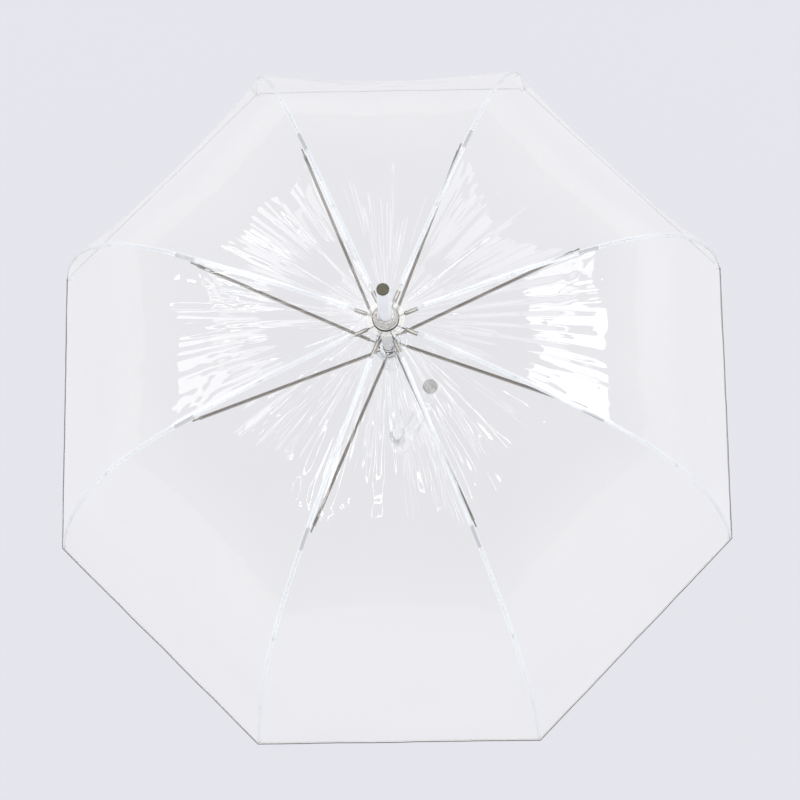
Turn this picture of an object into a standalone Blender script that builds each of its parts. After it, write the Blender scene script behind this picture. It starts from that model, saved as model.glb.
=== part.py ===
"""Clear dome stick umbrella, open. Metres, +Z up, shaft on the Z axis, origin where the hand holds it."""

import math

import bmesh
import bpy
from mathutils import Matrix, Vector

# ---- Driving dimensions, in millimetres. Heights are measured from the rib pivots. ----
MM = 0.001
GRIP_DROP = 711.0  # from the rib pivots down to the origin
RIBS = 8
FIRST_RIB = 22.5  # degrees from +X

SHAFT_R, SHAFT_BORE = 6.0, 5.2
SHAFT_TOP, SHAFT_END = 27.0, -692.0
FIT = 0.35  # clearance round the shaft

RIB_PIVOT_R = 8.0
RIB_R = 1.2
TANG_HALF_THICK, TANG_HALF_DEEP, TANG_END_R = 0.7, 1.5, 31.0
EYE_R, WIRE_R = 0.85, 0.45
INNER_RIB = ((8.0, 0.0), (125.0, -13.9), (228.8, -69.7))
OUTER_RIB = ((228.8, -69.7), (341.6, -130.4), (390.6, -311.4), (420.0, -460.9))
SLEEVE_R, SLEEVE_BORE, SLEEVE_LENGTH, SLEEVE_GAP = 1.95, 1.55, 24.0, 1.7

RUNNER_PIVOT_R, RUNNER_PIVOT_Z = 12.0, -101.3
RUNNER_R, RUNNER_BORE, RUNNER_CROWN_R = 9.2, 6.4, 15.6
RUNNER_TOP, RUNNER_BOTTOM = -95.6, -198.3
STRETCHER_OFFSET = 3.9  # sideways from the rib's plane
STRETCHER_W, STRETCHER_DEEP, STRETCHER_WALL = 3.0, 2.8, 0.6
STRETCHER_END = (207.3, -59.4)

FILM_GAP, FILM_THICK = 2.8, 0.2
HUB_FILM = ((7.1, 11.3), (13.5, 11.1), (19.0, 9.3), (30.0, 5.0), (42.0, 0.7))

CATCH_OUT, CATCH_HALF_THICK, CATCH_ARM = 8.4, 1.1, 16.6
TOP_CATCH_Z, BOTTOM_CATCH_Z = -199.4, -498.6
WINDOW_TOP, WINDOW_BOTTOM, KEYWAY_R = -180.5, -193.5, 8.75

FERRULE_R, FERRULE_TOP = 6.4, 129.0
CAP_R = 12.3

HANDLE_R, HANDLE_TOP, HANDLE_BEND_Z, HANDLE_BEND_R = 9.75, -673.0, -752.25, 43.0
HANDLE_END, HANDLE_TURN = -728.0, 60.0

ROUND, FINE = 32, 8


# ---- Helpers ----
def at(x, y, z):
    """Millimetres from the rib pivots to metres from the origin."""
    return Vector((x, y, z + GRIP_DROP)) * MM


def turned(points, degrees):
    turn = Matrix.Rotation(math.radians(degrees), 3, "Z")
    return [turn @ p for p in points]


def material(name, colour, rough, metal=0.0, alpha=1.0):
    m = bpy.data.materials.new(name)
    m.use_nodes = True
    shader = m.node_tree.nodes["Principled BSDF"]
    shader.inputs["Base Color"].default_value = (*colour, 1.0)
    shader.inputs["Roughness"].default_value = rough
    shader.inputs["Metallic"].default_value = metal
    shader.inputs["Alpha"].default_value = alpha
    m.diffuse_color = (*colour, alpha)
    return m


def loft(loops, ring=False):
    """A closed mesh through loops of points in metres. ring joins the last loop to the first."""
    bm = bmesh.new()
    rows = [[bm.verts.new(p) for p in loop] for loop in loops]
    n = len(rows[0])
    pairs = list(zip(rows, rows[1:])) + ([(rows[-1], rows[0])] if ring else [])
    for a, b in pairs:
        for i in range(n):
            j = (i + 1) % n
            bm.faces.new((a[i], a[j], b[j], b[i]))
    if not ring:
        bm.faces.new(rows[0])
        bm.faces.new(rows[-1][::-1])
    bmesh.ops.recalc_face_normals(bm, faces=bm.faces)
    mesh = bpy.data.meshes.new("mesh")
    bm.to_mesh(mesh)
    bm.free()
    return mesh


def circle(r, z, n=ROUND):
    return [at(r * math.cos(a), r * math.sin(a), z) for a in (2 * math.pi * i / n for i in range(n))]


def turned_solid(profile, n=ROUND):
    """A solid of revolution through (radius, height) circles, closed by flat ends."""
    return loft([circle(r, z, n) for r, z in profile])


def turned_ring(profile, n=ROUND):
    """A solid of revolution from a closed (radius, height) outline that stays off the axis."""
    section = [at(r, 0, z) for r, z in profile]
    return loft([turned(section, 360.0 * i / n) for i in range(n)], ring=True)


def torus(radius, wire, z, n=40, m=6):
    outline = [
        (radius + wire * math.cos(a), z + wire * math.sin(a))
        for a in (2 * math.pi * (i + 0.5) / m for i in range(m))
    ]
    return turned_ring(outline, n)


def block(x0, x1, y0, y1, z0, z1):
    corners = ((x0, y0), (x1, y0), (x1, y1), (x0, y1))
    return loft([[at(x, y, z) for x, y in corners] for z in (z0, z1)])


def plate(outline, y0, y1):
    """An (x, z) outline with a thickness along Y."""
    return loft([[at(x, y, z) for x, z in outline] for y in (y0, y1)])


def disc_across(x, z, r, y0, y1, n=12):
    """A short cylinder along Y."""
    angles = [2 * math.pi * i / n for i in range(n)]
    return plate([(x + r * math.cos(a), z + r * math.sin(a)) for a in angles], y0, y1)


def turned_mesh(mesh, degrees):
    copy = mesh.copy()
    copy.transform(Matrix.Rotation(math.radians(degrees), 4, "Z"))
    return copy


def joined(meshes):
    """Several meshes that don't touch, as one cutter."""
    bm = bmesh.new()
    for mesh in meshes:
        bm.from_mesh(mesh)
    out = bpy.data.meshes.new("mesh")
    bm.to_mesh(out)
    bm.free()
    return out


def combine(mesh, tool, operation):
    """The exact Boolean of two meshes."""
    body = bpy.data.objects.new("body", mesh)
    other = bpy.data.objects.new("tool", tool)
    for o in (body, other):
        bpy.context.scene.collection.objects.link(o)
    mod = body.modifiers.new("boolean", "BOOLEAN")
    mod.operation, mod.solver, mod.object = operation, "EXACT", other
    graph = bpy.context.evaluated_depsgraph_get()
    out = bpy.data.meshes.new_from_object(body.evaluated_get(graph))
    for o in (body, other):
        bpy.data.objects.remove(o)
    return out


def piece(name, mesh, look, pivot=None, smooth=True):
    """A named object of the umbrella, with its origin at its own pivot."""
    pivot = pivot or Vector((0, 0, 0))
    bm = bmesh.new()
    bm.from_mesh(mesh)
    bmesh.ops.remove_doubles(bm, verts=bm.verts, dist=0.00002)
    bmesh.ops.translate(bm, verts=bm.verts, vec=-pivot)
    bmesh.ops.recalc_face_normals(bm, faces=bm.faces)
    data = bpy.data.meshes.new(name)
    bm.to_mesh(data)
    bm.free()
    data.materials.append(look)
    if smooth:
        data.shade_smooth()
        data.set_sharp_from_angle(angle=math.radians(35))
    obj = bpy.data.objects.new(name, data)
    obj.location = pivot
    umbrella.objects.link(obj)
    return obj


# ---- Curves of the ribs, as (radius, height) ----
def bezier(points, t):
    points = [Vector(p) for p in points]
    while len(points) > 1:
        points = [a.lerp(b, t) for a, b in zip(points, points[1:])]
    return points[0]


def walk(points, steps, t0=0.0, t1=1.0):
    """Points along a curve with the outward side of each."""
    out = []
    for i in range(steps + 1):
        t = t0 + (t1 - t0) * i / steps
        here = bezier(points, t)
        ahead = (bezier(points, min(t + 0.001, 1)) - bezier(points, max(t - 0.001, 0))).normalized()
        out.append((here, ahead, Vector((-ahead.y, ahead.x))))
    return out


def section(here, out, half_wide, half_deep, n=FINE):
    """An ellipse across a rib in the XZ plane."""
    loop = []
    for i in range(n):
        a = 2 * math.pi * (i + 0.5) / n
        p = here + out * (half_deep * math.sin(a))
        loop.append(at(p.x, half_wide * math.cos(a), p.y))
    return loop


def bar(here, out, half_wide, half_deep):
    """A rectangle across a rib with as many points as an ellipse."""
    loop = []
    for i in range(FINE):
        a = 2 * math.pi * (i + 0.5) / FINE
        c, s = math.cos(a), math.sin(a)
        k = 1 / max(abs(c), abs(s))
        p = here + out * (half_deep * s * k)
        loop.append(at(p.x, half_wide * c * k, p.y))
    return loop


def near_radius(points, radius):
    """The place along a curve where it reaches a radius."""
    low, high = 0.0, 1.0
    for _ in range(40):
        middle = (low + high) / 2
        low, high = (middle, high) if bezier(points, middle).x < radius else (low, middle)
    return low


def at_length_before_end(points, length):
    """The place along a curve that is a length before its end."""
    t, last, gone = 1.0, bezier(points, 1.0), 0.0
    while gone < length:
        t -= 0.0005
        here = bezier(points, t)
        gone += (here - last).length
        last = here
    return t


# ---- Pieces on the shaft ----
def make_shaft():
    mesh = turned_ring(
        ((SHAFT_BORE, SHAFT_END), (SHAFT_R, SHAFT_END), (SHAFT_R, SHAFT_TOP), (SHAFT_BORE, SHAFT_TOP)), 48
    )
    slots = joined(
        [
            block(0, 8, -1.5, 1.5, TOP_CATCH_Z - 14.4, TOP_CATCH_Z + 2.9),
            block(0, 8, -1.5, 1.5, BOTTOM_CATCH_Z - 2.9, BOTTOM_CATCH_Z + 14.4),
        ]
    )
    piece("shaft", combine(mesh, slots, "DIFFERENCE"), white_metal)


def make_catch(name, flat_z, away):
    """A sprung wedge. away is -1 when the wedge tapers downward and 1 when it tapers upward."""
    outline = (
        (0.8, 0.0), (CATCH_OUT - 0.6, 0.0), (CATCH_OUT, 0.5), (CATCH_OUT, 1.2),
        (5.0, 13.1), (1.4, 18.4), (-1.0, 18.4), (-1.0, 4.0),
    )  # fmt: skip
    mesh = plate([(x, flat_z + away * d) for x, d in outline], -CATCH_HALF_THICK, CATCH_HALF_THICK)
    piece(name, mesh, steel, at(0, 0, flat_z + away * CATCH_ARM), smooth=False)


def make_ferrule():
    mesh = turned_solid(
        (
            (5.4, 120.0), (5.4, SHAFT_TOP + 0.4), (FERRULE_R, SHAFT_TOP + 0.4), (FERRULE_R, FERRULE_TOP - 0.5),
            (FERRULE_R - 0.3, FERRULE_TOP), (5.75, FERRULE_TOP), (5.75, 126.0),
        )
    )  # fmt: skip
    piece("ferrule", mesh, white_plastic)
    end = turned_solid(((5.3, 126.4), (5.3, 129.2), (4.9, 129.6)))
    piece("ferrule_end", end, dark_plug)


def make_cap():
    bore = FERRULE_R + FIT
    outline = (
        (bore, 14.2), (CAP_R - 0.3, 14.2), (CAP_R, 14.6), (CAP_R, 15.8), (CAP_R - 0.7, 16.8),
        (9.6, 21.0), (8.3, 25.4), (7.9, 27.6), (7.4, 28.2), (bore, 28.2),
    )  # fmt: skip
    piece("top_cap", turned_ring(outline, 48), chrome)


def make_washers():
    bore = FERRULE_R + FIT
    piece("cap_washer", turned_ring(((bore, 12.6), (12.9, 12.6), (12.9, 13.9), (bore, 13.9)), 40), black_rubber)
    piece("rosette", turned_ring(((bore, 11.9), (18.0, 11.9), (18.0, 12.3), (bore, 12.3)), 40), clear_film)


def make_notch():
    bore = SHAFT_R + FIT
    outline = (
        (bore, -2.6), (10.4, -2.6), (10.4, 2.3), (11.0, 2.9), (11.0, 10.0), (10.4, 10.6), (bore, 10.6),
    )  # fmt: skip
    mesh = turned_ring(outline, 64)
    slot = block(5.0, 13.0, -1.05, 1.05, -4.0, 2.2)
    mesh = combine(mesh, joined([turned_mesh(slot, FIRST_RIB + 45 * i) for i in range(RIBS)]), "DIFFERENCE")
    groove = turned_ring(((7.2, -0.8), (13.0, -0.8), (13.0, 0.8), (7.2, 0.8)), 64)
    piece("notch", combine(mesh, groove, "DIFFERENCE"), white_plastic)
    piece("notch_wire", torus(RIB_PIVOT_R, WIRE_R, 0.0), steel)


def make_runner():
    outline = (
        (RUNNER_BORE, RUNNER_BOTTOM), (9.9, RUNNER_BOTTOM), (10.3, RUNNER_BOTTOM + 0.8),
        (10.3, RUNNER_BOTTOM + 3.2), (RUNNER_R, RUNNER_BOTTOM + 4.4), (RUNNER_R, -122.0),
        (10.4, -115.5), (RUNNER_CROWN_R - 1.0, -111.5), (RUNNER_CROWN_R, -110.4), (RUNNER_CROWN_R, -98.4),
        (RUNNER_CROWN_R - 0.8, -97.6), (9.6, -97.6), (9.2, RUNNER_TOP), (RUNNER_BORE, RUNNER_TOP),
    )  # fmt: skip
    mesh = turned_ring(outline, 64)
    low, high = STRETCHER_OFFSET - 1.1, STRETCHER_OFFSET + 1.1
    slot = block(9.7, 18.0, low, high, RUNNER_PIVOT_Z - 2.8, RUNNER_TOP + 2)
    cuts = [turned_mesh(slot, FIRST_RIB + 45 * i) for i in range(RIBS)]
    mesh = combine(mesh, joined(cuts), "DIFFERENCE")
    keyway = block(0.0, KEYWAY_R, -1.6, 1.6, RUNNER_BOTTOM - 2, RUNNER_TOP + 2)
    mesh = combine(mesh, keyway, "DIFFERENCE")
    window = block(5.0, 12.0, -2.2, 2.2, WINDOW_BOTTOM, WINDOW_TOP)
    mesh = combine(mesh, window, "DIFFERENCE")
    ring_r = math.hypot(RUNNER_PIVOT_R, STRETCHER_OFFSET)
    z = RUNNER_PIVOT_Z
    groove = turned_ring(((ring_r - 0.9, z - 0.85), (18.0, z - 0.85), (18.0, z + 0.85), (ring_r - 0.9, z + 0.85)), 64)
    piece("runner", combine(mesh, groove, "DIFFERENCE"), clear_plastic, at(0, 0, z))
    piece("runner_wire", torus(ring_r, WIRE_R, z), steel, at(0, 0, z))


# ---- Pieces of one rib, made in the XZ plane ----
def inner_rib_mesh():
    start = walk(INNER_RIB, 1, 0.0, 0.001)[0]
    here, ahead, out = start
    thick, deep = TANG_HALF_THICK, TANG_HALF_DEEP
    loops = [bar(here + ahead * s, out, thick, d) for s, d in ((-1.5, 0.5), (-1.2, 1.0), (-0.6, 1.4), (0.0, deep))]
    tang_end = near_radius(INNER_RIB, TANG_END_R)
    loops += [bar(p, n, thick, deep) for p, _, n in walk(INNER_RIB, 3, tang_end * 0.2, tang_end)]
    last = at_length_before_end(INNER_RIB, SLEEVE_GAP + 0.4)
    loops += [section(p, n, RIB_R, RIB_R) for p, _, n in walk(INNER_RIB, 9, tang_end * 1.12, last)]
    eye = disc_across(here.x, here.y, EYE_R, -3, 3)
    return combine(loft(loops), eye, "DIFFERENCE")


def sleeve_mesh():
    first = at_length_before_end(INNER_RIB, SLEEVE_GAP + SLEEVE_LENGTH)
    last = at_length_before_end(INNER_RIB, SLEEVE_GAP)
    along = walk(INNER_RIB, 3, first, last)
    outer = [section(p, n, SLEEVE_R, SLEEVE_R, 10) for p, _, n in along]
    bore = [section(p, n, SLEEVE_BORE, SLEEVE_BORE, 10) for p, _, n in along]
    return loft(outer + bore[::-1], ring=True)


def outer_rib_mesh():
    here, ahead, out = walk(OUTER_RIB, 1)[0]
    loops = [section(here + ahead * s, out, r, r) for s, r in ((-1.1, 0.5), (-0.6, 1.0), (0.0, RIB_R))]
    loops += [section(p, n, RIB_R, RIB_R) for p, _, n in walk(OUTER_RIB, 16, 0.03, 1.0)]
    return loft(loops)


def tip_mesh():
    here, ahead, out = walk(OUTER_RIB, 1)[-1]
    profile = (
        (RIB_R + FIT, 0.5), (RIB_R + FIT, -9.0), (2.0, -9.4), (2.15, -8.8), (2.15, 1.6), (2.7, 2.6),
        (3.1, 4.2), (3.0, 5.8), (2.2, 7.2), (0.9, 7.9),
    )  # fmt: skip
    return loft([section(here + ahead * s, out, r, r, 10) for r, s in profile])


def stretcher_mesh():
    """A channel with a flat tang at each end, beside the rib."""
    foot, head = Vector((RUNNER_PIVOT_R, RUNNER_PIVOT_Z)), Vector(STRETCHER_END)
    ahead = (head - foot).normalized()
    out = Vector((-ahead.y, ahead.x))
    mid, half, deep = STRETCHER_OFFSET, STRETCHER_W / 2, STRETCHER_DEEP / 2
    length = (head - foot).length

    def box(s0, s1, y0, y1, d0, d1):
        corners = [foot + ahead * s + out * d for s, d in ((s0, d0), (s1, d0), (s1, d1), (s0, d1))]
        return plate([(p.x, p.y) for p in corners], y0, y1)

    channel = box(6.5, length - 6.0, mid - half, mid + half, -deep, deep)
    hollow = box(9.5, length - 9.0, mid - half + STRETCHER_WALL, mid + half - STRETCHER_WALL, -deep + 0.7, deep + 1)
    mesh = combine(channel, hollow, "DIFFERENCE")
    thin = 0.7
    for s0, s1, p in ((0.0, 7.5, foot), (length - 7.0, length, head)):
        mesh = combine(mesh, box(s0, s1, mid - thin, mid + thin, -1.25, 1.25), "UNION")
        mesh = combine(mesh, disc_across(p.x, p.y, 1.6, mid - thin, mid + thin), "UNION")
    return combine(mesh, disc_across(foot.x, foot.y, 1.0, 0, 8), "DIFFERENCE")


def make_ribs():
    """The same five pieces on each of the eight ribs."""
    hinge = Vector(INNER_RIB[2])
    sets = (
        ("inner_rib", inner_rib_mesh(), fibreglass, (RIB_PIVOT_R, 0.0, 0.0)),
        ("rib_sleeve", sleeve_mesh(), dark_metal, (RIB_PIVOT_R, 0.0, 0.0)),
        ("outer_rib", outer_rib_mesh(), fibreglass, (hinge.x, 0.0, hinge.y)),
        ("rib_tip", tip_mesh(), clear_plastic, (hinge.x, 0.0, hinge.y)),
        ("stretcher", stretcher_mesh(), grey_metal, (RUNNER_PIVOT_R, 0.0, RUNNER_PIVOT_Z)),
    )
    for name, mesh, look, (x, y, z) in sets:
        for i in range(RIBS):
            turn = FIRST_RIB + 45 * i
            pivot = turned([at(x, y, z)], turn)[0]
            piece(f"{name}_{i + 1}", turned_mesh(mesh, turn), look, pivot)


# ---- The film ----
def make_canopy():
    """Eight flat-chorded gores as one thin skin, creased over each rib."""
    inner_line = [Vector(p) for p in HUB_FILM]
    outer_line = [Vector(p) + Vector((0.06, 1.0)) * FILM_THICK for p in HUB_FILM]
    start = near_radius(INNER_RIB, 58.0)
    along = walk(INNER_RIB, 7, start, 1.0) + walk(OUTER_RIB, 20, 0.04, 1.0)
    inner_line += [p + n * FILM_GAP for p, _, n in along]
    outer_line += [p + n * (FILM_GAP + FILM_THICK) for p, _, n in along]
    outline = [at(p.x, 0, p.y) for p in inner_line + outer_line[::-1]]
    loops = [turned(outline, FIRST_RIB + 45 * i) for i in range(RIBS)]
    piece("canopy", loft(loops, ring=True), clear_film)


# ---- The handle ----
def crook_point(r, z):
    turn = math.radians(HANDLE_TURN)
    return at(r * math.cos(turn), r * math.sin(turn), z)


def crook_path():
    """(radius, height, direction angle) down the grip, round the bend and up to the end."""
    path = [(0.0, HANDLE_TOP - d, -90.0) for d in (0.9, 22.0, 45.0, 66.0)]
    for i in range(25):
        a = 180.0 + 180.0 * i / 24
        r = HANDLE_BEND_R + HANDLE_BEND_R * math.cos(math.radians(a))
        path.append((r, HANDLE_BEND_Z + HANDLE_BEND_R * math.sin(math.radians(a)), a + 90.0))
    path += [(2 * HANDLE_BEND_R, HANDLE_END - 1.0, 90.0)]
    return path


def crook_loop(r, z, direction, radius, n=24):
    side = math.radians(direction - 90.0)
    turn = math.radians(HANDLE_TURN)
    across = Vector((math.cos(turn) * math.cos(side), math.sin(turn) * math.cos(side), math.sin(side)))
    level = Vector((-math.sin(turn), math.cos(turn), 0))
    angles = [2 * math.pi * (i + 0.5) / n for i in range(n)]
    return [crook_point(r, z) + (across * math.cos(a) + level * math.sin(a)) * radius * MM for a in angles]


def make_handle():
    bore = SHAFT_R + FIT
    loops = [crook_loop(0, z, -90.0, r) for r, z in ((bore, SHAFT_END - 2.5), (bore, HANDLE_TOP), (9.0, HANDLE_TOP))]
    loops += [crook_loop(r, z, d, HANDLE_R) for r, z, d in crook_path()]
    loops += [crook_loop(2 * HANDLE_BEND_R, HANDLE_END, 90.0, 9.0)]
    piece("handle", loft(loops), clear_acrylic)
    collar = (
        (bore, -672.6), (9.8, -672.6), (10.2, -672.0), (10.2, -665.4), (9.6, -664.6), (bore, -664.6),
    )  # fmt: skip
    piece("handle_collar", turned_ring(collar, 40), dark_metal)
    r = 2 * HANDLE_BEND_R

    def stack(profile):
        return loft([crook_loop(r, HANDLE_END + h, 90.0, radius) for radius, h in profile])

    piece("handle_end_ring", stack(((9.6, 0.4), (10.0, 0.7), (10.0, 1.7), (9.6, 2.0))), chrome)
    piece("handle_end_cap", stack(((9.5, 2.4), (9.5, 3.4), (8.8, 4.0))), grey_plastic)


# ---- Build ----
for o in list(bpy.data.objects):
    bpy.data.objects.remove(o)
umbrella = bpy.data.collections.new("stick_umbrella")
bpy.context.scene.collection.children.link(umbrella)

white_metal = material("white_metal", (0.84, 0.85, 0.85), 0.35)
white_plastic = material("white_plastic", (0.86, 0.87, 0.87), 0.4)
dark_plug = material("dark_plug", (0.06, 0.055, 0.035), 0.5)
chrome = material("chrome", (0.78, 0.78, 0.78), 0.15, 1.0)
steel = material("steel", (0.55, 0.56, 0.57), 0.3, 1.0)
black_rubber = material("black_rubber", (0.02, 0.02, 0.02), 0.6)
dark_metal = material("dark_metal", (0.09, 0.09, 0.1), 0.4, 0.6)
grey_metal = material("grey_metal", (0.35, 0.36, 0.38), 0.35, 0.8)
grey_plastic = material("grey_plastic", (0.45, 0.46, 0.48), 0.4)
fibreglass = material("fibreglass", (0.8, 0.82, 0.83), 0.3)
clear_plastic = material("clear_plastic", (0.88, 0.9, 0.92), 0.2, alpha=0.6)
clear_acrylic = material("clear_acrylic", (0.9, 0.92, 0.94), 0.05, alpha=0.4)
clear_film = material("clear_film", (0.93, 0.95, 0.97), 0.1, alpha=0.3)

make_shaft()
make_catch("top_catch", TOP_CATCH_Z, -1)
make_catch("bottom_catch", BOTTOM_CATCH_Z, 1)
make_ferrule()
make_cap()
make_washers()
make_notch()
make_runner()
make_ribs()
make_canopy()
make_handle()
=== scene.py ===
"""Looks of the clear dome stick umbrella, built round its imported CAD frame. Metres, +Z up the shaft."""

import math

import bpy
import numpy as np
from mathutils import Matrix, Vector, noise


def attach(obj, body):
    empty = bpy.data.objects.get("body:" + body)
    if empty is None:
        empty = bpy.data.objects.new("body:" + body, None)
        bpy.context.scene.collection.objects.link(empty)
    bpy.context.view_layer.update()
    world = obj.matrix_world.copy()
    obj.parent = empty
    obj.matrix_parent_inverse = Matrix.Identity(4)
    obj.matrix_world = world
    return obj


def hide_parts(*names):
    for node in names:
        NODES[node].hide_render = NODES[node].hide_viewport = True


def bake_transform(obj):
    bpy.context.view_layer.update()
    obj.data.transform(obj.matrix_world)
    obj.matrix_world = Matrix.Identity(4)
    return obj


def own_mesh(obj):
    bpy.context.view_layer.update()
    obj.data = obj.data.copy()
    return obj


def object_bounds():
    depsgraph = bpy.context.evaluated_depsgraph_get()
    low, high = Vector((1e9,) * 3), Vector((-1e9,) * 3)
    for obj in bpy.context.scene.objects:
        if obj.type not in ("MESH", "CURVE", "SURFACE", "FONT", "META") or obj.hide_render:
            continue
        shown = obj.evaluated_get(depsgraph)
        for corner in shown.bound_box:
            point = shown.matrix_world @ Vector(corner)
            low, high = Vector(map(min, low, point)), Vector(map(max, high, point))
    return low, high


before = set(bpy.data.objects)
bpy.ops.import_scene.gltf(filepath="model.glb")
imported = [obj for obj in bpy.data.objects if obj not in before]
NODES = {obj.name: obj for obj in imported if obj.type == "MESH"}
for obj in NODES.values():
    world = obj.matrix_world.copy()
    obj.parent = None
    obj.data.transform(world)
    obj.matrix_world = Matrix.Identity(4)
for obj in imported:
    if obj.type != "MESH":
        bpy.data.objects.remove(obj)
cad_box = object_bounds()

# ---- Dimensions, in millimetres above the rib pivots, as the frame has them ----
MM = 0.001
LIFT = 711.0
RIBS = 8
FIRST_RIB = 22.5
INNER_RIB = ((8.0, 0.0), (125.0, -13.9), (228.8, -69.7))
OUTER_RIB = ((228.8, -69.7), (341.6, -130.4), (390.6, -311.4), (420.0, -460.9))
FILM_LIFT = 2.35  # of the film above a rib's centre line
HUB_LINE = ((7.1, 11.35), (13.5, 11.15), (19.0, 9.3), (30.0, 5.0), (42.0, 0.7))
HUB_WEDGE = 20.0  # arc length of film that stays under the cap

HALF_COLUMNS = 36  # of the film's grid, from a rib to the middle of a gore
ROW_STEP = 7.0
HUB_ROWS = 5


def at(x, y, z):
    return Vector((x, y, z + LIFT)) * MM


def azimuth(rib):
    return math.radians(FIRST_RIB + 45.0 * rib)


def outward(angle):
    return Vector((math.cos(angle), math.sin(angle), 0))


def bezier(points, t):
    points = [Vector(p) for p in points]
    while len(points) > 1:
        points = [a.lerp(b, t) for a, b in zip(points, points[1:])]
    return points[0]


def smooth(x, low, high):
    t = min(1.0, max(0.0, (x - low) / (high - low)))
    return t * t * (3 - 2 * t)


# ---- Material tools ----
FILM_WHITE = (0.97, 0.97, 0.97)
MOST_SHINE = 0.5  # share of a film's look that its skin takes at a grazing view
FILM_TINT = (0.985, 0.985, 0.955)  # of what is seen through one layer


def new_material(name):
    m = bpy.data.materials.new(name)
    m.use_nodes = True
    return m, m.node_tree, m.node_tree.nodes["Principled BSDF"]


def set_inputs(shader, **values):
    for key, value in values.items():
        shader.inputs[key.replace("_", " ")].default_value = value


def noise_node(tree, scale, detail=3.0, stretch=(1, 1, 1)):
    where = tree.nodes.new("ShaderNodeTexCoord")
    mapping = tree.nodes.new("ShaderNodeMapping")
    mapping.inputs["Scale"].default_value = stretch
    tree.links.new(where.outputs["Object"], mapping.inputs["Vector"])
    n = tree.nodes.new("ShaderNodeTexNoise")
    n.inputs["Scale"].default_value = scale
    n.inputs["Detail"].default_value = detail
    tree.links.new(mapping.outputs["Vector"], n.inputs["Vector"])
    return n.outputs["Fac"]


def ramp(tree, value, stops):
    r = tree.nodes.new("ShaderNodeValToRGB")
    elements = r.color_ramp.elements
    while len(elements) < len(stops):
        elements.new(0.5)
    for e, (place, colour) in zip(elements, stops):
        e.position = place
        e.color = (*colour, 1.0)
    tree.links.new(value, r.inputs["Fac"])
    return r.outputs["Color"]


def grey_ramp(tree, value, low, high, at_low=0.3, at_high=0.7):
    return ramp(tree, value, ((at_low, (low,) * 3), (at_high, (high,) * 3)))


def math_node(tree, operation, value, *others):
    """A Math node of a socket and more sockets or numbers, by its output."""
    n = tree.nodes.new("ShaderNodeMath")
    n.operation = operation
    tree.links.new(value, n.inputs[0])
    for socket, other in zip(list(n.inputs)[1:], others):
        if isinstance(other, float):
            socket.default_value = other
        else:
            tree.links.new(other, socket)
    return n.outputs[0]


def map_node(tree, value, from_low, from_high, low, high):
    n = tree.nodes.new("ShaderNodeMapRange")
    for name, number in (("From Min", from_low), ("From Max", from_high), ("To Min", low), ("To Max", high)):
        n.inputs[name].default_value = number
    tree.links.new(value, n.inputs["Value"])
    return n.outputs["Result"]


def level_nodes(tree):
    """The object's coordinates, the same without their height, and the distance from the shaft."""
    where = tree.nodes.new("ShaderNodeTexCoord").outputs["Object"]
    level = tree.nodes.new("ShaderNodeVectorMath")
    level.operation = "MULTIPLY"
    level.inputs[1].default_value = (1, 1, 0)
    tree.links.new(where, level.inputs[0])
    radius = tree.nodes.new("ShaderNodeVectorMath")
    radius.operation = "LENGTH"
    tree.links.new(level.outputs["Vector"], radius.inputs[0])
    return where, level.outputs["Vector"], radius.outputs["Value"]


def bump(tree, shader, height, strength, distance):
    b = tree.nodes.new("ShaderNodeBump")
    b.inputs["Strength"].default_value = strength
    b.inputs["Distance"].default_value = distance
    tree.links.new(height, b.inputs["Height"])
    tree.links.new(b.outputs["Normal"], shader.inputs["Normal"])
    return b


GRAIN_STRENGTH, GRAIN_DEPTH = 0.06, 0.0004


def painted(name, light, dark, rough, scale, coat, metal=0.0, stretch=(1, 1, 1)):
    """An opaque finish with a slight change of colour and gloss over it."""
    m, tree, shader = new_material(name)
    value = noise_node(tree, scale, stretch=stretch)
    tree.links.new(ramp(tree, value, ((0.3, dark), (0.7, light))), shader.inputs["Base Color"])
    tree.links.new(grey_ramp(tree, value, *rough), shader.inputs["Roughness"])
    bump(tree, shader, noise_node(tree, scale * 12, stretch=stretch), GRAIN_STRENGTH, GRAIN_DEPTH)
    set_inputs(shader, Metallic=metal, Coat_Weight=coat, Coat_Roughness=0.12)
    return m


PLEAT_STRENGTH, PLEAT_DEPTH = 0.6, 0.0016
SKIRT_PLEAT_STRENGTH = 0.2
CROWN_ENDS, SKIRT_STARTS = 0.22, 0.34  # distances from the shaft over which the pleats fade
DEEPEST_AT, DEEPEST = 0.28, 2.8  # where the pleats are deepest, and how many times the depth near the shaft


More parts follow.
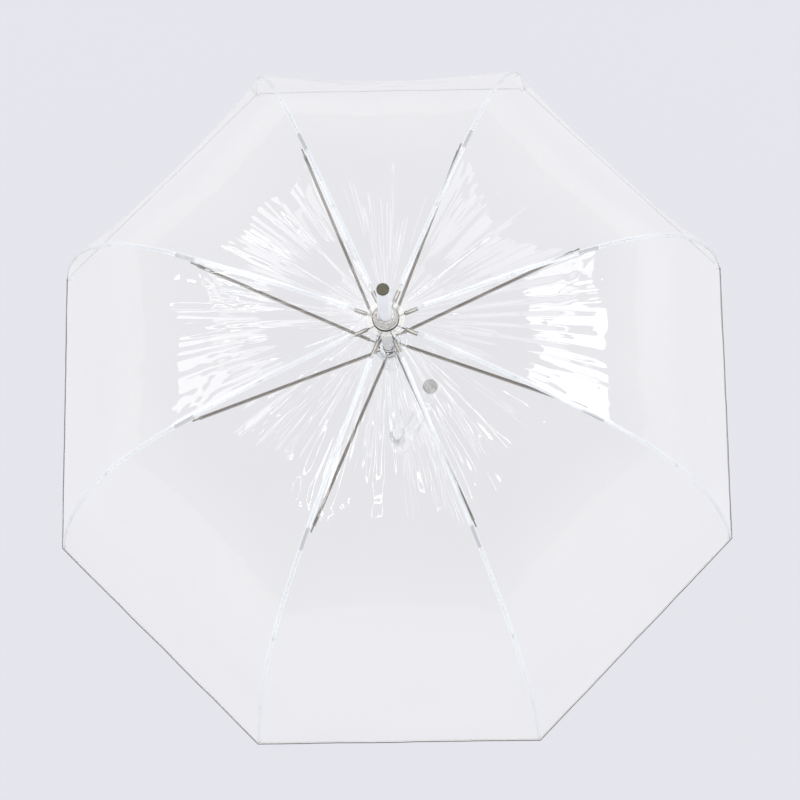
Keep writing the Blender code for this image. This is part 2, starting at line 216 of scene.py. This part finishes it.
def pleat_bump(tree, shader, pleats):
    """Fine pleats that run down the dome from its crown, as a bump that comes and goes in patches."""
    where, level, radius = level_nodes(tree)
    unit = tree.nodes.new("ShaderNodeVectorMath")
    unit.operation = "NORMALIZE"
    tree.links.new(level, unit.inputs[0])
    around = tree.nodes.new("ShaderNodeVectorMath")
    around.operation = "SCALE"
    around.inputs["Scale"].default_value = pleats
    tree.links.new(unit.outputs["Vector"], around.inputs[0])
    down = tree.nodes.new("ShaderNodeVectorMath")
    down.operation = "MULTIPLY_ADD"
    down.inputs[1].default_value = (2.5, 2.5, 3)
    tree.links.new(where, down.inputs[0])
    tree.links.new(around.outputs["Vector"], down.inputs[2])
    n = tree.nodes.new("ShaderNodeTexNoise")
    n.inputs["Scale"].default_value = 1.0
    n.inputs["Detail"].default_value = 1.0
    tree.links.new(down.outputs["Vector"], n.inputs["Vector"])
    fade = map_node(tree, radius, CROWN_ENDS, SKIRT_STARTS, PLEAT_STRENGTH, SKIRT_PLEAT_STRENGTH)
    deeper = map_node(tree, radius, 0.0, DEEPEST_AT, 0.0, DEEPEST)  # wider pleats stay as steep
    height = math_node(tree, "MULTIPLY", n.outputs["Fac"], deeper)
    patch = grey_ramp(tree, noise_node(tree, 7.0, 1.0), 0.25, 1.0, 0.4, 0.6)
    made = bump(tree, shader, height, PLEAT_STRENGTH, PLEAT_DEPTH)
    tree.links.new(math_node(tree, "MULTIPLY", fade, patch), made.inputs["Strength"])


def film_material(name, milk, edge, gloss, rough, pleats=0.0, white=FILM_WHITE, tint=FILM_TINT):
    """Thin clear film: what is behind it, a little milk that grows to grazing view, and a glossy skin."""
    m, tree, shader = new_material(name)
    shader.inputs["Base Color"].default_value = (*white, 1.0)
    set_inputs(shader, Roughness=0.5, Specular_IOR_Level=0.3)
    clear = tree.nodes.new("ShaderNodeBsdfTransparent")
    clear.inputs["Color"].default_value = (*tint, 1.0)
    facing = tree.nodes.new("ShaderNodeLayerWeight")
    facing.inputs["Blend"].default_value = 0.35
    cloud = grey_ramp(tree, noise_node(tree, 9.0, 4.0), 0.85, 1.1)
    amount = map_node(tree, facing.outputs["Facing"], 0.0, 1.0, milk, edge)
    skin = tree.nodes.new("ShaderNodeBsdfGlossy")
    skin.distribution = "MULTI_GGX"
    skin.inputs["Roughness"].default_value = rough
    fresnel = tree.nodes.new("ShaderNodeFresnel")
    fresnel.inputs["IOR"].default_value = 1.5
    shine = map_node(tree, fresnel.outputs[0], 0.0, MOST_SHINE / gloss, 0.0, MOST_SHINE)
    look = clear
    for share, over in ((math_node(tree, "MULTIPLY", amount, cloud), shader), (shine, skin)):
        mix = tree.nodes.new("ShaderNodeMixShader")
        tree.links.new(share, mix.inputs[0])
        tree.links.new(look.outputs[0], mix.inputs[1])
        tree.links.new(over.outputs[0], mix.inputs[2])
        look = mix
    tree.links.new(look.outputs[0], tree.nodes["Material Output"].inputs["Surface"])
    if pleats:
        pleat_bump(tree, skin, pleats)
    return m


def acrylic_material(name, ior):
    m, tree, shader = new_material(name)
    value = noise_node(tree, 30.0)
    tree.links.new(grey_ramp(tree, value, 0.02, 0.06), shader.inputs["Roughness"])
    shader.inputs["Base Color"].default_value = (0.97, 0.985, 0.99, 1.0)
    set_inputs(shader, Transmission_Weight=1.0, IOR=ior, Coat_Weight=0.2)
    return m


TANG_ENDS, ROD_STARTS = 0.0312, 0.0322  # distances from the shaft, in metres


def rib_material():
    """White glass-fibre rod, with its dark metal tang near the notch."""
    m, tree, shader = new_material("rib_rod")
    _, _, radius = level_nodes(tree)
    on_rod = map_node(tree, radius, TANG_ENDS, ROD_STARTS, 0.0, 1.0)
    fibre = noise_node(tree, 300.0)
    rod = ramp(tree, fibre, ((0.3, (0.74, 0.78, 0.82)), (0.7, (0.86, 0.9, 0.94))))
    mix = tree.nodes.new("ShaderNodeMix")
    mix.data_type = "RGBA"
    tree.links.new(on_rod, mix.inputs["Factor"])
    mix.inputs["A"].default_value = (0.06, 0.06, 0.062, 1)
    tree.links.new(rod, mix.inputs["B"])
    tree.links.new(mix.outputs["Result"], shader.inputs["Base Color"])
    tree.links.new(map_node(tree, on_rod, 0.0, 1.0, 1.0, 0.0), shader.inputs["Metallic"])
    tree.links.new(grey_ramp(tree, fibre, 0.25, 0.4), shader.inputs["Roughness"])
    return m


# The channel's colour runs from a painted highlight along its middle to its dark metal over these distances
HIGHLIGHT_RAMP_FROM, HIGHLIGHT_RAMP_TO = 0.0005, 0.0018  # distances from the line over the rib, in metres


def channel_highlight_material():
    """A dark folded channel, with a painted highlight along its middle that gives way to the dark metal at
    its two edges.
    """
    m, tree, shader = new_material("channel_metal_painted_highlight")
    _, level, radius = level_nodes(tree)
    parts = tree.nodes.new("ShaderNodeSeparateXYZ")
    tree.links.new(level, parts.inputs[0])
    angle = math_node(tree, "ARCTAN2", parts.outputs["Y"], parts.outputs["X"])
    from_first = math_node(tree, "SUBTRACT", angle, math.radians(FIRST_RIB))
    from_rib = math_node(tree, "WRAP", from_first, math.pi / RIBS, -math.pi / RIBS)
    aside = math_node(tree, "MULTIPLY", math_node(tree, "SINE", from_rib), radius)
    across = math_node(tree, "ABSOLUTE", aside)
    # Random wobble of where the painted highlight ends
    highlight_wobble = math_node(tree, "MULTIPLY", noise_node(tree, 90.0), 0.0009)
    place = map_node(tree, math_node(tree, "ADD", across, highlight_wobble), HIGHLIGHT_RAMP_FROM, HIGHLIGHT_RAMP_TO, 0.0, 1.0)
    # The light stop is a painted highlight, the dark stop the metal's own colour
    stops = ((0.4, (0.74, 0.71, 0.68)), (0.7, (0.24, 0.21, 0.19)))
    tree.links.new(ramp(tree, place, stops), shader.inputs["Base Color"])
    tree.links.new(grey_ramp(tree, noise_node(tree, 260.0), 0.3, 0.45), shader.inputs["Roughness"])
    set_inputs(shader, Metallic=0.2)
    return m


film = film_material("clear_film", 0.05, 0.36, 2.0, 0.035, 15.0)
hub_film = film_material("rosette_film", 0.12, 0.4, 3.4, 0.1, 60.0)
seam_colours = {"white": (0.93, 0.96, 1.0), "tint": (0.98, 0.99, 1.0)}
seam_look = film_material("weld_seam", 0.4, 0.45, 2.5, 0.12, **seam_colours)
skirt_seam_look = film_material("skirt_seam", 0.3, 0.3, 2.5, 0.12, **seam_colours)
hem_look = film_material("hem_fold", 0.4, 0.7, 2.0, 0.12)
acrylic = acrylic_material("clear_acrylic", 1.49)
thin_acrylic = acrylic_material("clear_moulding", 1.15)
rod_look = rib_material()
white_enamel = painted("white_enamel", (0.64, 0.66, 0.7), (0.58, 0.6, 0.64), (0.3, 0.42), 40.0, 0.15)
white_plastic = painted("white_plastic", (0.6, 0.62, 0.66), (0.53, 0.55, 0.6), (0.3, 0.42), 70.0, 0.2)
olive_plug = painted("olive_plug", (0.11, 0.1, 0.06), (0.07, 0.065, 0.04), (0.4, 0.55), 400.0, 0.1)
nickel = painted(
    "nickel", (0.86, 0.84, 0.81), (0.5, 0.48, 0.46), (0.06, 0.16), 160.0, 0.0, metal=1.0, stretch=(1, 1, 3)
)
black_rubber = painted(
    "black_rubber", (0.03, 0.03, 0.032), (0.016, 0.016, 0.018), (0.55, 0.7), 300.0, 0.0
)
spring_steel = painted(
    "spring_steel", (0.62, 0.62, 0.63), (0.5, 0.5, 0.52), (0.22, 0.36), 500.0, 0.0, metal=1.0
)
sleeve_metal = painted(
    "sleeve_metal", (0.05, 0.045, 0.045), (0.02, 0.019, 0.019), (0.3, 0.45), 300.0, 0.1
)
collar_metal = painted(
    "collar_metal", (0.55, 0.56, 0.58), (0.4, 0.41, 0.43), (0.2, 0.32), 120.0, 0.2, metal=0.6
)
# Dark channel metal with a painted highlight along its middle, for the stretchers and the tangs
channel_metal_painted_highlight = channel_highlight_material()
grey_plastic = painted(
    "grey_plastic", (0.3, 0.305, 0.31), (0.22, 0.225, 0.23), (0.2, 0.32), 90.0, 0.3, metal=0.5
)
hem_trim = painted("hem_trim", (0.07, 0.04, 0.035), (0.03, 0.022, 0.022), (0.4, 0.55), 250.0, 0.1)

LOOKS = {
    "shaft": white_enamel, "ferrule": white_plastic, "ferrule_end": olive_plug, "top_cap": nickel,
    "cap_washer": black_rubber, "rosette": hub_film, "notch": white_plastic, "notch_wire": spring_steel,
    "handle": acrylic, "handle_collar": collar_metal, "handle_end_ring": nickel,
    "handle_end_cap": grey_plastic, "runner": thin_acrylic, "runner_wire": white_enamel,
    "top_catch": spring_steel, "bottom_catch": spring_steel, "inner_rib": rod_look,
    "outer_rib": rod_look, "rib_sleeve": sleeve_metal, "rib_tip": acrylic, "stretcher": channel_metal_painted_highlight,
}  # fmt: skip
for node_name, obj in NODES.items():
    stem = node_name.rstrip("0123456789").rstrip("_") if node_name[-1].isdigit() else node_name
    if stem in LOOKS:
        obj.data.materials.clear()
        obj.data.materials.append(LOOKS[stem])


# ---- The film's line over a rib ----
def film_line():
    """The film's line over a rib, as (radius, height), its arc lengths, and the arc length of the bend."""
    points = [Vector(p) for p in HUB_LINE]
    for curve, count, first in ((INNER_RIB, 60, 15), (OUTER_RIB, 120, 1)):
        for i in range(first, count + 1):
            t = i / count
            here = bezier(curve, t)
            ahead = bezier(curve, min(t + 0.001, 1)) - bezier(curve, max(t - 0.001, 0))
            ahead.normalize()
            points.append(here + Vector((-ahead.y, ahead.x)) * FILM_LIFT)
        if curve is INNER_RIB:
            bend = len(points) - 1
    run = [0.0]
    for a, b in zip(points, points[1:]):
        run.append(run[-1] + (b - a).length)
    return np.array([tuple(p) for p in points]), np.array(run), run[bend]


LINE, RUN, BEND = film_line()
END = float(RUN[-1])


def line_at(d):
    return float(np.interp(d, RUN, LINE[:, 0])), float(np.interp(d, RUN, LINE[:, 1]))


def line_normal(d):
    (r0, z0), (r1, z1) = line_at(max(d - 2, 0)), line_at(min(d + 2, END))
    n = Vector((z0 - z1, r1 - r0))
    return n.normalized()


# How far the film stands out of the chord between two ribs, in millimetres
SLACK = 2.0  # the crown, at the middle of a gore
DRAWN_IN = 8.5  # the skirt, inwards, where the pull down it is strongest
SPOKE, FINE_SPOKE, PLEAT = 1.8, 1.2, 1.0
SLEEVE_FOLD, TIP_FOLD, CREASE, HOOP = 2.4, 2.2, 1.8, 0.5
SLEEVE_AT, TIP_AT = BEND - 22.0, END  # arc lengths of the points that hold the film
SEED_STEP = 17.3  # between the noise of one gore and the next


def fan(across, along, seed, count, reach):
    """Folds that fan out from a point where the film is held."""
    distance = math.hypot(across, along)
    angle = math.atan2(across, along)
    fold = noise.noise(Vector((angle * count, seed, distance * 0.006)))
    return fold * math.exp(-distance / reach) * smooth(distance, 2.0, 25.0)


def between(d, low, high, end_low, end_high):
    """1 between high and end_low, and 0 below low and above end_high."""
    return smooth(d, low, high) * (1 - smooth(d, end_low, end_high))


def gore_noise(gore, w, d, across, along, layer):
    """Noise with about so many waves across a gore, and along it per millimetre."""
    return noise.noise(Vector((w * across + gore * SEED_STEP, d * along, layer)))


def ripple(gore, d, w):
    """How far the film stands out from the flat chord between two ribs, in millimetres."""
    r, _ = line_at(d)
    chord = 2 * r * math.sin(math.pi / RIBS)
    belly = SLACK * between(d, 60, 160, 180, 280) - DRAWN_IN * between(d, 230, 430, 500, END)
    # Spokes from the hub, with narrow pleats in patches
    hub = SPOKE * gore_noise(gore, w, d, 7.0, 0.0025, 1.7)
    hub += FINE_SPOKE * gore_noise(gore, w, d, 17.0, 0.0035, 9.1)
    hub *= smooth(d, 14, 50) * (1 - 0.7 * smooth(d, 140, 300))
    patch = smooth(gore_noise(gore, w, d, 2.2, 0.008, 6.6), -0.25, 0.35)
    hub += PLEAT * gore_noise(gore, w, d, 24.0, 0.005, 4.3) * patch * between(d, 90, 150, 330, 460)
    # Fans at the sleeves and the tips
    folds = 0.0
    for side, across in ((0, w * chord), (1, (1 - w) * chord)):
        seed = gore * SEED_STEP
        folds += SLEEVE_FOLD * fan(across, d - SLEEVE_AT, seed + side * 3.1, 3.4, 60.0)
        folds += TIP_FOLD * fan(across, d - TIP_AT, seed + side * 5.7 + 40, 3.0, 70.0)
    # Broad waves, then creases down the skirt and hoops near its hem where it is worn
    wave = gore_noise(gore, w, d, chord * 0.02, 0.008, gore * 2.0)
    wave *= 0.3 + 1.2 * between(d, 150, 200, 280, 420)
    worn = smooth(gore_noise(gore, w, d, 2.6, 0.007, 8.4), -0.1, 0.3)
    drape = CREASE * gore_noise(gore, w, d, 16.0, 0.02, 2.2) * worn * between(d, 240, 300, 430, 520)
    hoops = HOOP * gore_noise(gore, w, d, 2.5, 0.06, 3.8)
    drape += hoops * worn * between(d, 380, 460, END - 30, END - 5)
    return (belly + hub + wave + folds + drape) * math.sin(math.pi * w)


def film_grid():
    """The film's points and normals by column and row, the rows' arc lengths, and how many are inner."""
    inner_rows = max(2, round((BEND - HUB_WEDGE) / ROW_STEP))
    outer_rows = max(2, round((END - BEND) / ROW_STEP))
    rows = [HUB_WEDGE * i / HUB_ROWS for i in range(HUB_ROWS)]
    rows += [HUB_WEDGE + (BEND - HUB_WEDGE) * i / inner_rows for i in range(inner_rows)]
    rows += [BEND + (END - BEND) * i / outer_rows for i in range(outer_rows + 1)]
    columns = RIBS * 2 * HALF_COLUMNS
    points = np.zeros((columns, len(rows), 3))
    for j, d in enumerate(rows):
        r, z = line_at(d)
        n = line_normal(d)
        corners = [outward(azimuth(i)) * r for i in range(RIBS)]
        for c in range(columns):
            gore, step = divmod(c, 2 * HALF_COLUMNS)
            w = step / (2 * HALF_COLUMNS)
            middle = azimuth(gore) + math.pi / RIBS
            p = corners[gore].lerp(corners[(gore + 1) % RIBS], w)
            h = ripple(gore, d, w)
            side = outward(middle) * n.x * h
            points[c, j] = at(p.x + side.x, p.y + side.y, z + n.y * h)
    around = np.roll(points, -1, 0) - np.roll(points, 1, 0)
    down = np.gradient(points, axis=1)
    normals = np.cross(down, around)
    normals /= np.maximum(np.linalg.norm(normals, axis=2, keepdims=True), 1e-12)
    return points, normals, rows, inner_rows


def add_mesh(name, points, faces, look, normals=None):
    mesh = bpy.data.meshes.new(name)
    mesh.from_pydata([tuple(p) for p in points], [], faces)
    mesh.materials.append(look)
    mesh.shade_smooth()
    mesh.validate()
    if normals is not None:
        mesh.normals_split_custom_set_from_vertices([tuple(n) for n in normals])
    obj = bpy.data.objects.new(name, mesh)
    bpy.context.scene.collection.objects.link(obj)
    return obj


def grid_faces(columns, rows):
    return [
        (c * rows + r, c * rows + r + 1, (c + 1) * rows + r + 1, (c + 1) * rows + r)
        for c in range(columns - 1)
        for r in range(rows - 1)
    ]


def flat_size(rib_rows):
    """The width and length of a piece of film as cut, and its area, in metres."""
    length = (rib_rows[-1] - rib_rows[0]) * MM
    widths = [2 * line_at(d)[0] * math.sin(math.pi / RIBS) * MM for d in rib_rows]
    strips = zip(widths, widths[1:], rib_rows, rib_rows[1:])
    area = sum((a + b) / 2 * (end - start) * MM for a, b, start, end in strips)
    return (max(widths), length), area


def make_film():
    """The film's pieces. Returns each with its rib, its part and the arc lengths of its rows."""
    made = []
    points, normals, rows, inner_rows = film_grid()
    total = len(points)
    bend_row = HUB_ROWS + inner_rows
    parts = (("hub", 0, HUB_ROWS), ("inner", HUB_ROWS, bend_row), ("outer", bend_row, len(rows) - 1))
    for rib in range(RIBS):
        middle = rib * 2 * HALF_COLUMNS
        columns = [(middle + k) % total for k in range(-HALF_COLUMNS, HALF_COLUMNS + 1)]
        for part, first, last in parts:
            p = points[columns, first : last + 1].reshape(-1, 3)
            n = normals[columns, first : last + 1].reshape(-1, 3)
            faces = grid_faces(len(columns), last - first + 1)
            piece = add_mesh(f"film_{part}_{rib + 1}", p, faces, film, n)
            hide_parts("canopy")
            if part == "hub":
                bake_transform(piece)
            else:
                joint = "inner_rib_hinge" if part == "inner" else "outer_rib_flex"
                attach(piece, f"{part}_rib_{rib + 1}")
                joint = f"{joint}_{rib + 1}"
                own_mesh(piece)
            made.append((piece, rib, part, rows[first : last + 1]))
    return made


def declare_film(made):
    """Works out each piece of film's flat size and area as cut, and does nothing more with them."""
    for piece, rib, part, rib_rows in made:
        flat, area = flat_size(rib_rows)


# ---- Seams, hem and small parts on each rib ----
def band(rib, first, last, half_width, lift, step=5.0):
    """A strip over a rib that lies on the film to both sides of it."""
    count = max(2, round((last - first) / step))
    points, rows = [], count + 1
    a = azimuth(rib)
    for side in (-1, 0, 1):
        for i in range(rows):
            d = first + (last - first) * i / count
            r, z = line_at(d)
            n = line_normal(d)
            aside = outward(a + side * (math.pi / RIBS + math.pi / 2)) * (half_width if side else 0.0)
            p = outward(a) * (r + n.x * lift) + aside
            points.append(at(p.x, p.y, z + n.y * lift))
    return points, grid_faces(3, rows)


SEAM_HALF, SEAM_LIFT, SEAM_START = 2.6, 0.5, 34.0


def make_seams():
    for rib in range(RIBS):
        for part, first, last in (("inner", SEAM_START, BEND), ("outer", BEND, END - 1)):
            points, faces = band(rib, first, last, SEAM_HALF, SEAM_LIFT)
            look = seam_look if part == "inner" else skirt_seam_look
            piece = add_mesh(f"seam_{part}_{rib + 1}", points, faces, look)
            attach(piece, f"{part}_rib_{rib + 1}")


def hem_strip(rib, low, high, lift, deep):
    """A flat bar along the hem, from mid-gore to mid-gore over a rib."""
    loops = []
    for k in range(-HALF_COLUMNS, HALF_COLUMNS + 1):
        side = 1 if k >= 0 else -1
        w = abs(k) / (2 * HALF_COLUMNS)
        gore = rib if k >= 0 else (rib - 1) % RIBS
        share = w if k >= 0 else 1 - w
        middle = azimuth(rib) + side * math.pi / RIBS
        loop = []
        for d, h in ((low, lift), (high, lift), (high, lift + deep), (low, lift + deep)):
            r, z = line_at(d)
            n = line_normal(d)
            a, b = outward(azimuth(rib)) * r, outward(azimuth(rib) + side * 2 * math.pi / RIBS) * r
            p = a.lerp(b, w)
            out = ripple(gore, d, share) + h
            p += outward(middle if k else azimuth(rib)) * n.x * out
            loop.append(at(p.x, p.y, z + n.y * out))
        loops.append(loop)
    points = [p for loop in loops for p in loop]
    faces = []
    for i in range(len(loops) - 1):
        for j in range(4):
            q = (j + 1) % 4
            faces.append((i * 4 + j, i * 4 + q, i * 4 + 4 + q, i * 4 + 4 + j))
    faces += [(3, 2, 1, 0), tuple(len(points) - 4 + j for j in range(4))]
    return points, faces


HEM = (  # arc lengths where each starts and ends, its height over the film, its thickness, its look
    ("hem_fold", END - 7.0, END - 0.4, 0.25, 0.25, hem_look),
    ("hem_trim", END - 1.3, END - 0.3, -0.2, 1.2, hem_trim),
)


def make_hem():
    for rib in range(RIBS):
        for name, low, high, lift, deep, look in HEM:
            points, faces = hem_strip(rib, low, high, lift, deep)
            piece = add_mesh(f"{name}_{rib + 1}", points, faces, look)
            piece.data.shade_flat()
            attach(piece, f"outer_rib_{rib + 1}")
            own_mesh(piece)


def tube_ring(centre, axis, radius, half_wide, thick, n=20):
    """A short open tube round an axis, with a wall."""
    axis = axis.normalized()
    side = axis.orthogonal().normalized()
    up = axis.cross(side)
    outer = radius + thick
    profile = ((radius, -half_wide), (outer, -half_wide), (outer, half_wide), (radius, half_wide))
    points = []
    for i in range(n):
        a = 2 * math.pi * i / n
        spoke = side * math.cos(a) + up * math.sin(a)
        points += [centre + spoke * r * MM + axis * s * MM for r, s in profile]
    faces = []
    for i in range(n):
        j = (i + 1) % n
        for k in range(4):
            q = (k + 1) % 4
            faces.append((i * 4 + k, i * 4 + q, j * 4 + q, j * 4 + k))
    return points, faces


# Each rib's curve, and the places along it that have a tie
TIES = (("inner", INNER_RIB, (0.55,)), ("outer", OUTER_RIB, (0.3, 0.66)))
TIE_RADIUS, TIE_HALF, TIE_WALL = 1.35, 1.6, 0.35
TANG_FROM, TANG_TO = 0.05, 0.105  # places along an inner rib
TANG_RADIUS, TANG_WALL = 1.5, 0.5


def rib_plane(point, rib):
    """A vector in a rib's plane, in space."""
    return outward(azimuth(rib)) * point.x + Vector((0, 0, point.y))


def make_ties():
    for rib in range(RIBS):
        for part, curve, places in TIES:
            for k, t in enumerate(places):
                here = bezier(curve, t)
                axis = rib_plane(bezier(curve, t + 0.002) - here, rib)
                centre = at(*rib_plane(here, rib))
                points, faces = tube_ring(centre, axis, TIE_RADIUS, TIE_HALF, TIE_WALL)
                piece = add_mesh(f"tie_{part}_{rib + 1}_{k + 1}", points, faces, white_plastic)
                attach(piece, f"{part}_rib_{rib + 1}")


def make_tangs():
    """The crimped metal end of each rib, next to the notch."""
    near, far = bezier(INNER_RIB, TANG_FROM), bezier(INNER_RIB, TANG_TO)
    for rib in range(RIBS):
        axis = rib_plane(far - near, rib)
        centre = at(*rib_plane(near.lerp(far, 0.5), rib))
        points, faces = tube_ring(centre, axis, TANG_RADIUS, axis.length / 2, TANG_WALL)
        # The tangs take the channel's painted highlight along their middle too
        piece = add_mesh(f"tang_{rib + 1}", points, faces, channel_metal_painted_highlight)
        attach(piece, f"inner_rib_{rib + 1}")


film_pieces = make_film()
make_tangs()
make_seams()
make_hem()
make_ties()
declare_film(film_pieces)

# ---- Floor, light and camera ----
FLOOR_COLOUR = (0.791, 0.791, 0.847)
BACKDROP = (0.83, 0.83, 0.85)
BOUNCE = 0.17  # of the floor as the gloss of the skirt sees it
BOUNCE_WIDE = 8.0
FLOOR_MATT, FLOOR_GLOW = 0.08, 0.88  # shares of its colour that it scatters and gives off at the middle
FADE_STARTS, FADE_ENDS = 0.9, 2.4  # distances over which the floor turns into the backdrop
FLOOR_HALF, FLOOR_GAP = 30, 0.002

WINDOW_CENTRE = Vector((0, 0, 0.5))
WINDOW_DISTANCE = 3.0
WINDOWS = (  # name, azimuth, elevation, gap between panes, and the panes' widths, heights and radiances
    ("left", 175, 33, 0.14, (0.06, 0.3, 0.55, 0.42), (1.8, 1.0, 1.4, 0.7), (7, 1.5, 2.2, 1.3)),
    ("upper_left", 128, 34, 0.14, (0.3, 0.5, 0.3, 0.08), (0.8, 1.2, 0.9, 1.4), (1.2, 1.8, 2.6, 7)),
    ("right", 5, 29, 0.12, (0.08, 0.35, 0.5, 0.35), (1.7, 0.8, 1.3, 1.0), (8, 3.5, 4.5, 2.5)),
    ("upper_right", 50, 38, 0.12, (0.5, 0.7, 0.4), (1.4, 1.0, 1.3), (0.9, 1.3, 1.1)),
    ("tubes_right", 305, 62, 0.35, (0.05, 0.05, 0.05), (1.8, 1.5, 1.8), (9, 5, 8)),
    ("tubes_left", 240, 60, 0.35, (0.05, 0.05, 0.05), (1.8, 1.5, 1.8), (6, 6, 6)),
)
SIDE_DISTANCE, SIDE_HEIGHT, SIDE_POWER = 2.8, 1.3, 22


def make_floor():
    """A pale floor that takes a soft shadow near the umbrella and runs into the backdrop further out."""
    m, tree, shader = new_material("floor")
    where = tree.nodes.new("ShaderNodeTexCoord")
    distance = tree.nodes.new("ShaderNodeVectorMath")
    distance.operation = "LENGTH"
    tree.links.new(where.outputs["Object"], distance.inputs[0])
    fade = map_node(tree, distance.outputs["Value"], FADE_STARTS, FADE_ENDS, 0.0, 1.0)
    for socket, share, far in (
        ("Base Color", FLOOR_MATT, (0, 0, 0)),
        ("Emission Color", FLOOR_GLOW, BACKDROP),
    ):
        near = tuple(share * c for c in FLOOR_COLOUR)
        tree.links.new(ramp(tree, fade, ((0.0, near), (1.0, far))), shader.inputs[socket])
    set_inputs(shader, Emission_Strength=1.0, Roughness=0.9, Specular_IOR_Level=0.0)
    z, half = cad_box[0].z - FLOOR_GAP, FLOOR_HALF
    points = [(x, y, z) for x, y in ((-half, -half), (half, -half), (half, half), (-half, half))]
    floor = add_mesh("floor", points, [(0, 1, 2, 3)], m)


def softbox(name, position, target, size, power, only_gloss=False, in_gloss=True, in_glass=True):
    data = bpy.data.lights.new(name, "AREA")
    data.shape = "RECTANGLE"
    data.size, data.size_y = size
    data.energy = power
    obj = bpy.data.objects.new(name, data)
    obj.location = position
    obj.rotation_euler = (Vector(target) - Vector(position)).to_track_quat("-Z", "Y").to_euler()
    obj.visible_diffuse = not only_gloss
    obj.visible_glossy = in_gloss
    obj.visible_transmission = in_glass
    obj.visible_camera = False
    bpy.context.scene.collection.objects.link(obj)


def window(name, degrees, elevation, gap, widths, heights, radiances):
    """A window of upright panes level at the top, seen in the film as bright bars."""
    a, e = math.radians(degrees), math.radians(elevation)
    back = Vector((math.cos(a) * math.cos(e), math.sin(a) * math.cos(e), math.sin(e)))
    across = Vector((-math.sin(a), math.cos(a), 0))
    upward = back.cross(across)
    shift = -(sum(widths) + gap * (len(widths) - 1)) / 2
    for i, (width, height, radiance) in enumerate(zip(widths, heights, radiances)):
        place = WINDOW_CENTRE + back * WINDOW_DISTANCE + across * (shift + width / 2)
        place += upward * (max(heights) - height) / 2
        power = radiance * math.pi * width * height
        softbox(f"{name}_{i + 1}", place, WINDOW_CENTRE, (width, height), power, only_gloss=True)
        shift += width + gap


def make_light():
    """An even backdrop, soft light all round, and windows and tubes that only show as gloss."""
    world = bpy.data.worlds.new("studio")
    bpy.context.scene.world = world
    world.use_nodes = True
    background = world.node_tree.nodes["Background"]
    background.inputs["Color"].default_value = (*BACKDROP, 1)
    softbox("overhead", (0.6, 0.8, 4.0), (0, 0, 0.5), (2.5, 2.5), 20)
    for one in WINDOWS:
        window(*one)
    above_floor = (0, 0, cad_box[0].z + 0.01)
    size = (BOUNCE_WIDE, BOUNCE_WIDE)
    power = BOUNCE * math.pi * BOUNCE_WIDE**2
    softbox("bounce", above_floor, (0, 0, 1), size, power, only_gloss=True, in_glass=False)
    for degrees in range(0, 360, 60):
        place = outward(math.radians(degrees)) * SIDE_DISTANCE + Vector((0, 0, SIDE_HEIGHT))
        softbox(f"side_{degrees}", place, (0, 0, 0.4), (1.6, 1.0), SIDE_POWER, in_gloss=False)


CAMERA_AT = (0.03792, -0.41806, 2.56613)
CAMERA_RIGHT = (0.99984, -0.00956, -0.0154)
CAMERA_UP = (0.01219, 0.98343, 0.18085)
CAMERA_TURN = -0.0038  # of the camera round the shaft, in radians
LENS = 89.62


def make_camera():
    data = bpy.data.cameras.new("camera")
    data.lens, data.sensor_width = LENS, 36.0
    data.clip_start, data.clip_end = 0.05, 100
    obj = bpy.data.objects.new("camera", data)
    bpy.context.scene.collection.objects.link(obj)
    right, up = Vector(CAMERA_RIGHT), Vector(CAMERA_UP)
    back = right.cross(up).normalized()
    up = back.cross(right)
    turn = Matrix((right, up, back)).transposed().to_4x4()
    about_shaft = Matrix.Rotation(CAMERA_TURN, 4, "Z")
    obj.matrix_world = about_shaft @ Matrix.Translation(CAMERA_AT) @ turn
    bpy.context.scene.camera = obj


make_floor()
make_light()
make_camera()
bpy.context.scene.view_settings.view_transform = "Standard"
